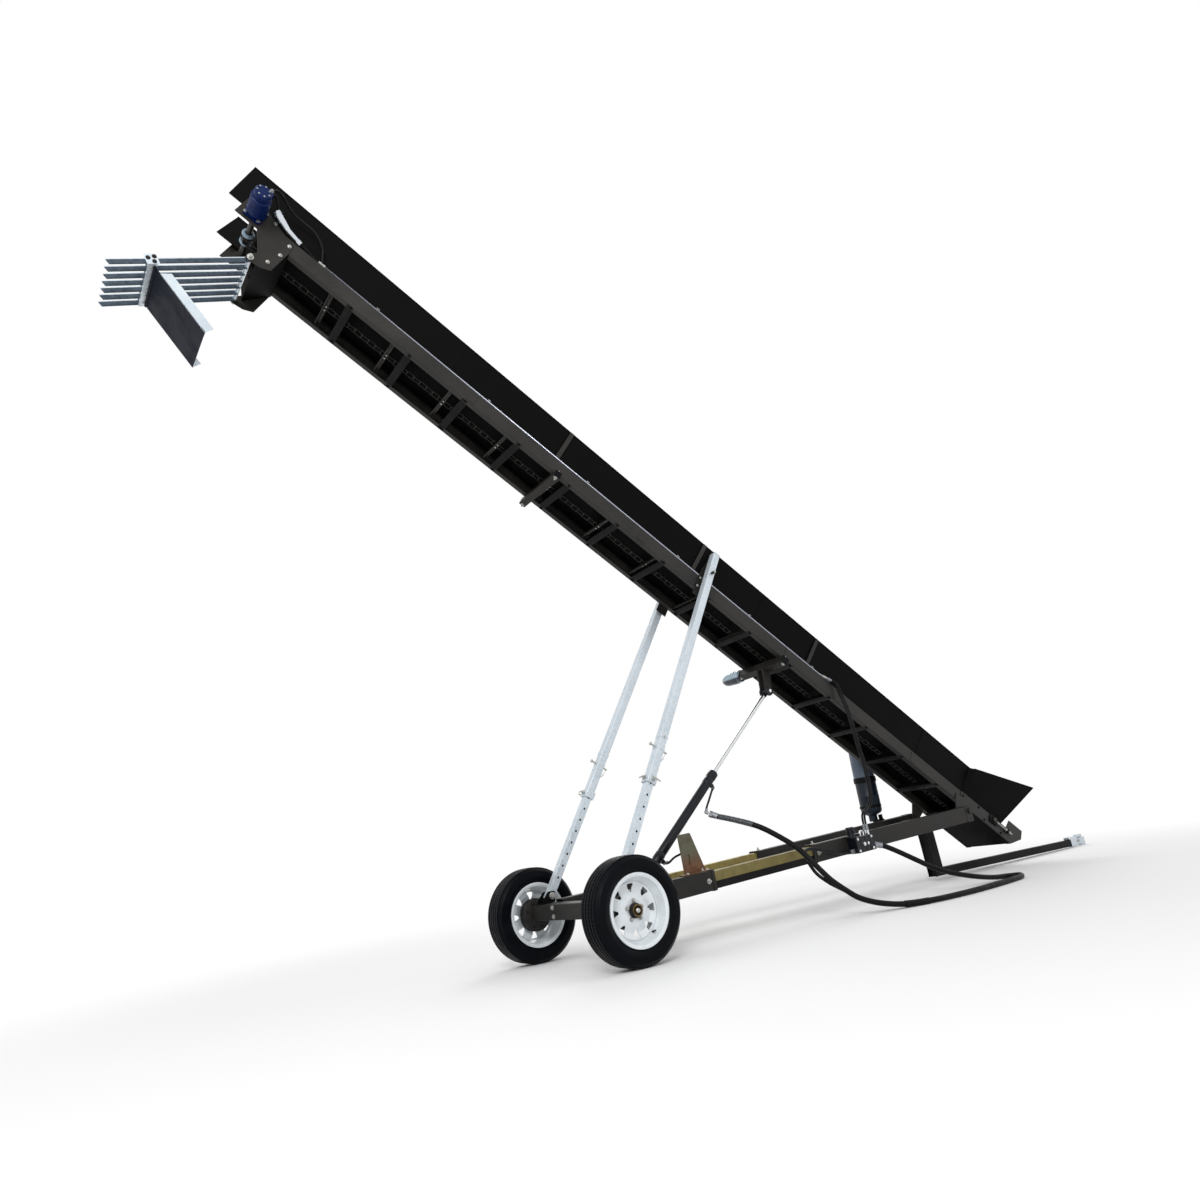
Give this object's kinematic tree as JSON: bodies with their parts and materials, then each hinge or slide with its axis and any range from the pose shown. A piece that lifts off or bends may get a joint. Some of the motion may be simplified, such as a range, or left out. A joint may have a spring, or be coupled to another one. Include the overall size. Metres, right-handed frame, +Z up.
{
  "type": "firewood conveyor",
  "caption": "Towed chain conveyor for firewood: a long trough boom on a two-wheel telescopic chassis with braced legs, a lift cylinder, a hinged discharge grate and a drawbar.",
  "frame": {"origin": "on the floor under the middle of the machine box, hoses left out", "axes": "+X along the machine towards the drawbar, +Y across towards its right wheel, +Z up"},
  "size_m": [8.4404, 1.6092, 4.8401],
  "materials": {
    "black_paint": "satin",
    "canister_blue": "satin",
    "chrome": "polished",
    "dark_iron": "satin",
    "grey_paint": "satin",
    "lens": "satin",
    "motor_blue": "satin",
    "passivated": "satin",
    "rubber": "satin",
    "wheel_white": "satin",
    "zinc": "satin"
  },
  "bodies": {
    "chassis": {"axle_beam": "grey_paint", "coupler": "zinc", "cylinder_cross_member": "grey_paint", "drawbar": "black_paint", "drawbar_bracket": "black_paint", "front_rail_left": "grey_paint", "front_rail_right": "grey_paint", "hose_boom_inner": "rubber", "hose_boom_outer": "rubber", "hose_bracket": "passivated", "hose_cylinder": "rubber", "hose_return": "rubber", "hose_twin": "rubber", "inner_rail_left": "black_paint", "inner_rail_right": "passivated", "leg_foot_left": "black_paint", "leg_foot_right": "black_paint", "oil_canister": "canister_blue", "rear_rail_left": "grey_paint", "rear_rail_right": "grey_paint", "valve_block": "black_paint"},
    "wheel_left": {"tyre_left": "rubber", "rim_left": "wheel_white", "hub_left": "dark_iron"},
    "leg_lower_left": {"leg_lower_left": "zinc"},
    "leg_upper_left": {"leg_upper_left": "zinc"},
    "wheel_right": {"tyre_right": "rubber", "rim_right": "wheel_white", "hub_right": "dark_iron"},
    "leg_lower_right": {"leg_lower_right": "zinc"},
    "leg_upper_right": {"leg_upper_right": "zinc"},
    "cylinder_barrel": {"cylinder_barrel": "black_paint"},
    "cylinder_rod": {"cylinder_rod": "chrome"},
    "discharge_grate": {"discharge_grate": "zinc"},
    "baffle": {"baffle": "dark_iron"},
    "boom": {"boom_frame": "black_paint", "chute_plate": "black_paint", "drag_chain": "dark_iron", "floor_pan": "black_paint", "head_plate_left": "grey_paint", "head_plate_right": "grey_paint", "head_shaft": "motor_blue", "hopper_wing_left": "black_paint", "hopper_wing_right": "black_paint", "hydraulic_motor": "motor_blue", "lamp": "lens", "leg_bracket_left": "grey_paint", "leg_bracket_right": "grey_paint", "lift_crossbar": "black_paint", "pipe_inner": "zinc", "pipe_outer": "zinc", "side_board_left": "black_paint", "side_board_right": "black_paint", "tail_plate_left": "grey_paint", "tail_plate_right": "grey_paint", "tail_shaft": "dark_iron", "upper_crossbar": "black_paint"}
  },
  "joints": [
    {"name": "boom_tilt", "type": "hinge", "parent": "chassis", "child": "boom", "pos_m": [1.98049, 0, 0.50066], "axis": [0, 1, 0], "range_deg": [-10, 2], "deforming": ["hose_boom_inner", "hose_boom_outer", "hose_cylinder", "hose_return"]},
    {"name": "wheel_left_spin", "type": "hinge", "parent": "chassis", "child": "wheel_left", "pos_m": [-1.69981, -0.545, 0.2915], "axis": [0, 1, 0], "continuous": true},
    {"name": "leg_left_swing", "type": "hinge", "parent": "chassis", "child": "leg_lower_left", "pos_m": [-1.65953, -0.376, 0.39644], "axis": [0, 1, 0], "range_deg": [-0.9, 0.4]},
    {"name": "leg_left_slide", "type": "slide", "parent": "leg_lower_left", "child": "leg_upper_left", "axis": [0.5317, 0.0436, 0.8458], "range_m": [-0.545, 0.115]},
    {"name": "wheel_right_spin", "type": "hinge", "parent": "chassis", "child": "wheel_right", "pos_m": [-1.69981, 0.545, 0.2915], "axis": [0, 1, 0], "continuous": true},
    {"name": "leg_right_swing", "type": "hinge", "parent": "chassis", "child": "leg_lower_right", "pos_m": [-1.65953, 0.376, 0.39644], "axis": [0, 1, 0], "range_deg": [-0.9, 0.4]},
    {"name": "leg_right_slide", "type": "slide", "parent": "leg_lower_right", "child": "leg_upper_right", "axis": [0.5317, -0.0436, 0.8458], "range_m": [-0.545, 0.115]},
    {"name": "cylinder_swing", "type": "hinge", "parent": "chassis", "child": "cylinder_barrel", "pos_m": [-1.23992, 0, 0.35943], "axis": [0, 1, 0], "range_deg": [-1.2, 5.5]},
    {"name": "cylinder_slide", "type": "slide", "parent": "cylinder_barrel", "child": "cylinder_rod", "axis": [0.7671, 0, 0.6416], "range_m": [-0.34, 0.075]},
    {"name": "grate_swing", "type": "hinge", "parent": "boom", "child": "discharge_grate", "pos_m": [-3.49669, 0, 4.18473], "axis": [0, 1, 0], "range_deg": [-25, 30]},
    {"name": "baffle_swing", "type": "hinge", "parent": "discharge_grate", "child": "baffle", "pos_m": [-3.98257, 0, 3.98326], "axis": [0, 1, 0], "range_deg": [-30, 35]}
  ],
  "couplings": [
    {"joint": "leg_left_slide", "follows": "boom_tilt", "m_per_rad": 3.04},
    {"joint": "leg_left_swing", "follows": "boom_tilt", "ratio": 0.07},
    {"joint": "leg_right_slide", "follows": "boom_tilt", "m_per_rad": 3.04},
    {"joint": "leg_right_swing", "follows": "boom_tilt", "ratio": 0.07},
    {"joint": "cylinder_slide", "follows": "boom_tilt", "m_per_rad": 1.88},
    {"joint": "cylinder_swing", "follows": "boom_tilt", "ratio": -0.46}
  ]
}
